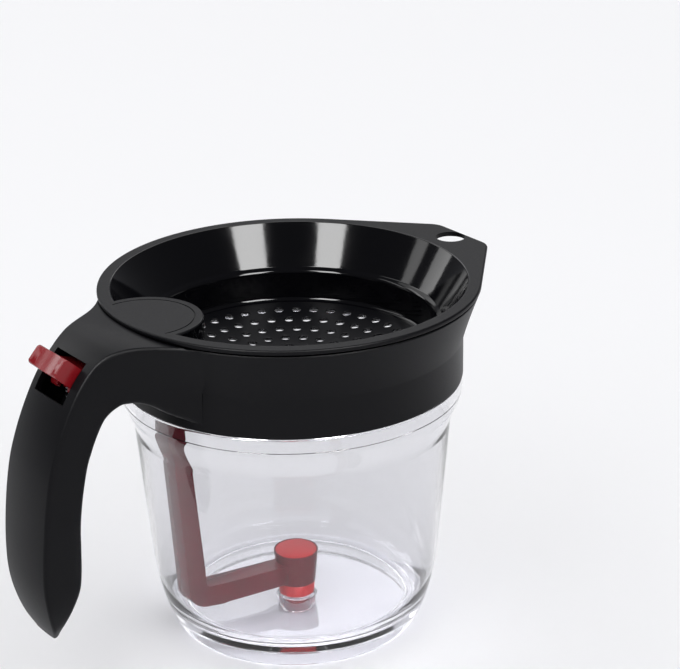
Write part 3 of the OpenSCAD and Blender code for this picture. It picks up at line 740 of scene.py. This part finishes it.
EDGE = 0.8  # rounding of the rim's outer edge
upper = []
for k in range(6):
    a = math.radians(90 * k / 5)
    upper.append(outline_ring(EDGE - EDGE * math.cos(a), RIM_Z - EDGE + EDGE * math.sin(a)))
upper.append(outline_ring(EDGE + 0.3, RIM_Z))
profile = rounded(
    [(72.5, RIM_Z), (70.7, RIM_Z, 0.5), (60.3, RIM_Z - 16.6, 1.5), (58.5, RIM_Z - 17.9, 6.0),
     (57.3, dish_z(57.3), 2.0), (50.0, dish_z(50.0))],
    closed=False, steps=8,
)
upper += [circle_ring(r, z) for r, z in profile]
upper += [circle_ring(r, dish_z(r)) for r in np.linspace(47.0, 2.0, 16)]
lower_edge = []
for k in range(5):
    a = math.radians(90 * k / 4)
    lower_edge.append(outline_ring(0.5 - 0.5 * math.sin(a), UNDER + 0.5 - 0.5 * math.cos(a)))
lower_edge.insert(0, outline_ring(0.8, UNDER))
outside = rounded(
    [(74.5, UNDER), (73.2, UNDER, 0.2), (73.2, LEDGE_Z + 0.06, 0.3), (LEDGE_R, LEDGE_Z + 0.06, 0.3),
     (LEDGE_R, UNDER - 1.2, 0.3), (70.2, UNDER - 1.6, 0.6), (60.9, RIM_Z - 19.6, 2.0),
     (59.3, BOWL_Z - 1.6, 0.8), (55.0, dish_z(55.0, -2.0))],
    closed=False, steps=4,
)
lower = [circle_ring(r, dish_z(r, -2.0)) for r in np.linspace(2.0, 52.0, 16)]
lower += [circle_ring(r, z) for r, z in reversed(outside)]
bowl = loft("strainer_bowl", lower + lower_edge + upper)
print("bowl:", len(bowl.data.polygons), "faces")

# %% [markdown]
# The holes repeat: rings of them, seven more in each ring, with none where the post stands.
# Geometry Nodes place one punch at every hole. Each punch has a rounded lip at its top and widens
# below, as a mould's pins do, so that light from the cup shows through the holes.

# %% Hole punches by Geometry Nodes
PUNCH_R, PUNCH_PITCH, PUNCH_RINGS, RING_TURN = 1.85, 8.2, 6, math.radians(3)


def punch_mesh():
    """One punch along Z: a short land, a rounded lip above it and a wide cone below it."""
    lip = [(PUNCH_R + 0.2 * (1 - math.cos(a)), -0.2 + 0.2 * math.sin(a) + 0.01)
           for a in (math.radians(90 * k / 3) for k in range(4))]
    profile = [(3.0, -5.0), (3.0, -2.0), (PUNCH_R, -0.55)] + lip + [(PUNCH_R + 0.3, 1.5)]
    return loft("punch", [[(x, y, z) for x, y in circle(r, 24)] for r, z in profile])


def perforation_tree(rings):
    """A tree that sets a punch on every hole of the dished floor."""
    tree = bpy.data.node_groups.new("perforation", "GeometryNodeTree")
    face = tree.interface
    face.new_socket("Geometry", in_out="OUTPUT", socket_type="NodeSocketGeometry")
    for name, kind in (("Punch", "NodeSocketObject"), ("Pitch", "NodeSocketFloat"),
                       ("Turn per ring", "NodeSocketFloat"), ("Keep clear of", "NodeSocketVector"),
                       ("Clear radius", "NodeSocketFloat"), ("Dish radius", "NodeSocketFloat"),
                       ("Dish depth", "NodeSocketFloat"), ("Dish bottom", "NodeSocketFloat"),
                       ("Material", "NodeSocketMaterial")):
        face.new_socket(name, in_out="INPUT", socket_type=kind)
    given = add(tree, "NodeGroupInput").outputs
    join = add(tree, "GeometryNodeJoinGeometry")
    centre = add(tree, "GeometryNodePoints", {"Count": 1})
    tree.links.new(centre.outputs[0], join.inputs[0])
    for k in range(1, rings + 1):
        radius = add(tree, "ShaderNodeMath", {1: float(k)}, {0: given["Pitch"]},
                     operation="MULTIPLY")
        turn = add(tree, "ShaderNodeMath", {1: float(k)}, {0: given["Turn per ring"]},
                   operation="MULTIPLY")
        spin = add(tree, "ShaderNodeCombineXYZ", links={"Z": turn.outputs[0]})
        ring = add(tree, "GeometryNodeMeshCircle", {"Vertices": 7 * k},
                   {"Radius": radius.outputs[0]})
        place = add(tree, "GeometryNodeTransform",
                    links={"Geometry": ring.outputs[0], "Rotation": spin.outputs[0]})
        tree.links.new(place.outputs[0], join.inputs[0])
    where = add(tree, "GeometryNodeInputPosition").outputs[0]
    gap = add(tree, "ShaderNodeVectorMath", links={0: where, 1: given["Keep clear of"]},
              operation="DISTANCE")
    near = add(tree, "FunctionNodeCompare",
               links={"A": gap.outputs["Value"], "B": given["Clear radius"]},
               operation="LESS_THAN")
    kept = add(tree, "GeometryNodeDeleteGeometry",
               links={"Geometry": join.outputs[0], "Selection": near.outputs[0]}, domain="POINT")
    length = add(tree, "ShaderNodeVectorMath", links={0: where}, operation="LENGTH")
    share = add(tree, "ShaderNodeMath", links={0: length.outputs["Value"], 1: given["Dish radius"]},
                operation="DIVIDE")
    square = add(tree, "ShaderNodeMath", {1: 2.0}, {0: share.outputs[0]}, operation="POWER")
    height = add(tree, "ShaderNodeMath", links={0: square.outputs[0], 1: given["Dish depth"],
                                                2: given["Dish bottom"]}, operation="MULTIPLY_ADD")
    lift = add(tree, "ShaderNodeCombineXYZ", links={"Z": height.outputs[0]})
    set_height = add(tree, "GeometryNodeSetPosition",
                     links={"Geometry": kept.outputs[0], "Offset": lift.outputs[0]})
    # the floor rises by 2 * depth * r / radius^2, so its upright leans by that much inwards
    flat = add(tree, "ShaderNodeVectorMath", {1: (-1.0, -1.0, 0.0)}, {0: where},
               operation="MULTIPLY")
    rate = given["Dish depth"]
    for _ in range(2):
        rate = add(tree, "ShaderNodeMath", links={0: rate, 1: given["Dish radius"]},
                   operation="DIVIDE").outputs[0]
    slope = add(tree, "ShaderNodeMath", {1: 2.0}, {0: rate}, operation="MULTIPLY")
    lean = add(tree, "ShaderNodeVectorMath", links={0: flat.outputs[0], "Scale": slope.outputs[0]},
               operation="SCALE")
    normal = add(tree, "ShaderNodeVectorMath", {1: (0.0, 0.0, 1.0)}, {0: lean.outputs[0]},
                 operation="ADD")
    align = add(tree, "FunctionNodeAlignRotationToVector", links={"Vector": normal.outputs[0]},
                axis="Z")
    shape = add(tree, "GeometryNodeObjectInfo", links={"Object": given["Punch"]})
    spread = add(tree, "GeometryNodeInstanceOnPoints",
                 links={"Points": set_height.outputs[0], "Instance": shape.outputs["Geometry"],
                        "Rotation": align.outputs[0]})
    real = add(tree, "GeometryNodeRealizeInstances", links={0: spread.outputs[0]})
    coat = add(tree, "GeometryNodeSetMaterial",
               links={"Geometry": real.outputs[0], "Material": given["Material"]})
    add(tree, "NodeGroupOutput", links={0: coat.outputs[0]})
    return tree


def grown(name, tree, **inputs):
    """An object that a geometry tree makes, turned into a plain mesh."""
    obj = bpy.data.objects.new(name, bpy.data.meshes.new(name))
    bpy.context.scene.collection.objects.link(obj)
    change = obj.modifiers.new(name, "NODES")
    change.node_group = tree
    ids = {item.name: item.identifier for item in tree.interface.items_tree
           if item.item_type == "SOCKET" and item.in_out == "INPUT"}
    for key, value in inputs.items():
        change[ids[key.replace("_", " ")]] = value
    return bake(obj)


punch = punch_mesh()
punches = grown(
    "punches", perforation_tree(PUNCH_RINGS), Punch=punch, Pitch=PUNCH_PITCH * MM,
    Turn_per_ring=RING_TURN,
    Keep_clear_of=(PAD_X * MM, 0.0, 0.0), Clear_radius=(PAD_R + PUNCH_R + 1) * MM,
    Dish_radius=DISH_R * MM, Dish_depth=DISH_H * MM, Dish_bottom=dish_z(0) * MM,
    Material=polished_black,
)
remove(punch)
print("punches:", len(punches.data.polygons), "faces")
combine(bowl, [punches], "DIFFERENCE")
print("perforated bowl:", len(bowl.data.polygons), "faces")

# %% [markdown]
# The thumb pad is the top of a hollow post that stands in the bowl over the stopper arm's head.
# The post is a cylinder cut to the bowl's outer form, joined to the bowl, and hollowed from
# below. A fine groove runs round the pad.

# %% Thumb pad and its hollow post
PAD_TOP = RIM_Z - 0.001
post = lathe("tool", rounded([(0.001, 100), (PAD_R, 100), (PAD_R, PAD_TOP, 0.8),
                              (0.001, PAD_TOP)]), segments=160, axis_x=PAD_X)
envelope = lathe("tool", [(0.001, dish_z(0, -2.0))]
                 + [(r, dish_z(r, -2.0)) for r in np.linspace(5, 54.9, 12)]
                 + [(59.2, BOWL_Z - 1.55), (60.8, RIM_Z - 19.6), (70.1, UNDER - 1.6),
                    (70.1, UNDER + 0.4), (75.2, UNDER + 0.4), (75.2, RIM_Z + 5),
                    (0.001, RIM_Z + 5)], segments=288)
combine(post, [envelope], "INTERSECT")
combine(bowl, [post], "UNION")
hollow = disc_tool((PAD_X, 0), PAD_R - POST_WALL, 90, UNDER)
hole = disc_tool((HANG_X, 0), HANG_R, RIM_Z - 10, RIM_Z + 10, 96)
groove = lathe("tool", [(19.0, RIM_Z - 0.35), (19.5, RIM_Z - 0.35), (19.7, RIM_Z + 2),
                        (18.8, RIM_Z + 2)], segments=160, axis_x=PAD_X)
groove_limit = disc_tool((0, 0), 72.4, RIM_Z - 5, RIM_Z + 5, 192)
combine(groove, [groove_limit], "INTERSECT")
combine(bowl, [hollow, hole, groove], "DIFFERENCE")
smooth(bowl, 30)
print("bowl with post:", len(bowl.data.polygons), "faces")

# %% [markdown]
# The strainer has two finishes. The funnel, the bowl's wall and the post's side are polished;
# the rim, the pad, the perforated floor and the outside stay satin.

# %% Two finishes on the strainer
finish_piece(bowl, "strainer", "black_gloss_plastic", satin_black, "strainer")
bowl.data.materials.append(polished_black)
for face in bowl.data.polygons:
    c = face.center / MM
    r = math.hypot(c.x, c.y)
    on_pad = math.hypot(c.x - PAD_X, c.y) < PAD_R - 0.5 and c.z > RIM_Z - 1.5
    inner = face.normal.z > -0.2 and (face.normal.x * c.x + face.normal.y * c.y) <= 0.02 * r
    on_dish = r < 55.5 and c.z < BOWL_Z + 1
    post_side = abs(math.hypot(c.x - PAD_X, c.y) - PAD_R) < 0.4 and c.z < RIM_Z - 0.9
    if not (on_pad or on_dish) and ((r < LEDGE_R and inner) or (post_side and r < 71)):
        face.material_index = 1
print("polished faces:", sum(f.material_index for f in bowl.data.polygons))


# %% [markdown]
# ## Trigger, arm and small pieces
#
# These CAD solids already have the right form. The trigger, the arm, the plug and the cover are
# copied and their loose triangles are merged into faces; on the trigger and the arm a small bevel
# rounds the edges, as on any moulding. The pins, screws, spring and seal keep their CAD meshes and
# only get their finish. The thumb tab gets two small webs on its underside, one on each side of the
# spring, and a smoothly hollowed end.


# %% Rounded copies of CAD solids
def dressed(name, node, bevel_mm):
    """A copy of a CAD node with merged faces and, where a bevel is given, rounded edges."""
    mesh = nodes[node].data.copy()
    mesh.name = name
    bm = bmesh.new()
    bm.from_mesh(mesh)
    bmesh.ops.remove_doubles(bm, verts=bm.verts, dist=2e-6)
    bmesh.ops.dissolve_limit(bm, angle_limit=math.radians(0.6), verts=bm.verts, edges=bm.edges)
    bm.to_mesh(mesh)
    bm.free()
    obj = bpy.data.objects.new(name, mesh)
    bpy.context.scene.collection.objects.link(obj)
    if bevel_mm:
        bevel = obj.modifiers.new("edges", "BEVEL")
        bevel.width = bevel_mm * MM
        bevel.segments = 3
        bevel.limit_method = "ANGLE"
        bevel.angle_limit = math.radians(28.0)
        bevel.use_clamp_overlap = True
        bake(obj)
    smooth(obj, 32)
    return obj


TAB_ROOT, TAB_TURN = (PIVOT[0] - 16.2, PIVOT[1] + 5.07), math.radians(137.2)


def thumb_dish(radius=32.05, out=40.0):
    """A roller that hollows the end of the thumb tab, across the tab's own direction."""
    along = Vector((math.cos(TAB_TURN), 0, math.sin(TAB_TURN)))
    axis = Vector((-math.sin(TAB_TURN), 0, math.cos(TAB_TURN)))
    middle = Vector((TAB_ROOT[0], 0, TAB_ROOT[1])) + along * out
    rings = [
        [tuple(middle + axis * k + radius * (along * a + Vector((0, 1, 0)) * b))
         for a, b in circle(1.0, 384)]
        for k in (-15, 15)
    ]
    return loft("tool", rings)


trigger = dressed("trigger_lever", "trigger", 0.5)
# a web's outline in the handle's plane
WEB = [(-102.6, 129.4), (-104.0, 127.6), (-104.0, 126.2), (-103.0, 125.6), (-101.8, 127.8),
       (-101.0, 129.7)]
for low, high in ((-8.5, -3.8), (3.8, 8.5)):
    combine(trigger, [across("tool", WEB, low, high)], "UNION")
combine(trigger, [thumb_dish()], "DIFFERENCE")
smooth(trigger, 32)
finish_piece(trigger, "trigger", "red_plastic", red_abs, "trigger")
arm = dressed("stopper_arm_moulding", "stopper_arm", 0.5)
finish_piece(arm, "arm", "maroon_plastic", smoky_red, "stopper_arm")
plug = dressed("stopper_plug_silicone", "stopper_plug", 0.0)
finish_piece(plug, "arm", "red_silicone", red_silicone, "stopper_plug")
cover = dressed("handle_cover", "handle_inner_cover", 0.0)
finish_piece(cover, "jug", "black_satin_plastic", satin_black, "handle_inner_cover")

for node, material in (("cup_seal_ring", clear_silicone), ("cover_screws", steel),
                       ("trigger_pin", steel), ("link_pin", steel), ("return_spring", steel)):
    nodes[node].data.materials.clear()
    nodes[node].data.materials.append(material)
print("finished the small pieces")

# %% [markdown]
# ## Floor and lights
#
# A plain pale floor runs past the picture's edges. A wide sheet overhead lights everything
# evenly. Two soft panels stand to the left and right of the camera, where their mirror images in
# the bowl say that they stood. A broad panel behind the jug gives the black satin its grey, and
# two narrow strips behind it draw the two pale stripes on the thumb tab. These five only show as
# gloss. The room itself is dim in the mirror and bright through the clear plastic.

# %% Floor
floor = loft("floor", [[(x, y, z) for x, y in ((-6000, -6000), (6000, -6000), (6000, 6000),
                                               (-6000, 6000))] for z in (-20.0, -0.01)])
floor_paint, tree, shader = new_material(
    "matt_white_board", Base_Color=linear("#f4f4f5"), Roughness=0.9
)
grain(tree, shader, 3.0, 0.002)
floor.data.materials.append(floor_paint)


# %% Lights
def panel(name, azimuth, elevation, distance, width, height, power):
    """A soft rectangular panel that looks at the jug's middle."""
    light = bpy.data.lights.new(name, "AREA")
    light.shape = "RECTANGLE"
    light.size, light.size_y, light.energy = width, height, power
    obj = bpy.data.objects.new(name, light)
    bpy.context.scene.collection.objects.link(obj)
    a, e = math.radians(azimuth), math.radians(elevation)
    way = Vector((math.cos(a) * math.cos(e), math.sin(a) * math.cos(e), math.sin(e)))
    obj.location = Vector((0, 0, 0.1)) + way * distance
    obj.rotation_euler = way.to_track_quat("Z", "Y").to_euler()
    print(f"{name}: {power:.1f} W at {distance} m")
    return obj


# name, azimuth, elevation, distance, width, height, power
GLOSS_PANELS = (
    ("panel_right", -91.5, 45, 1.2, 0.36, 0.6, 20.0),
    ("panel_left", -160.5, 45, 1.2, 0.33, 0.6, 18.0),
    ("strip_far", 130, 37, 2.0, 0.3, 1.0, 3.6),
    ("strip_near", 109, 25, 2.0, 0.45, 1.0, 5.4),
    ("panel_back", 65, 38, 2.4, 2.8, 1.4, 18.0),
)
for values in GLOSS_PANELS:
    panel(*values).visible_diffuse = False  # these only draw gloss; the ceiling gives the light
ceiling = panel("ceiling", -125, 89.9, 3.0, 14.0, 14.0, 600)
ceiling.visible_glossy = False  # the black parts mirror the dim room, not this sheet

world = bpy.data.worlds.new("studio")
bpy.context.scene.world = world
world.use_nodes = True
world.node_tree.nodes["Background"].inputs["Color"].default_value = linear("#e5e6ee")
# what is seen through the clear cup's edges is the bright room, not its dim mirror image
sky = world.node_tree
way = add(sky, "ShaderNodeLightPath")
strength = add(sky, "ShaderNodeMapRange", {"To Min": 0.22, "To Max": 0.8},
               {"Value": way.outputs["Is Transmission Ray"]})
sky.links.new(strength.outputs["Result"], sky.nodes["Background"].inputs["Strength"])
bpy.context.scene.view_settings.view_transform = "Standard"
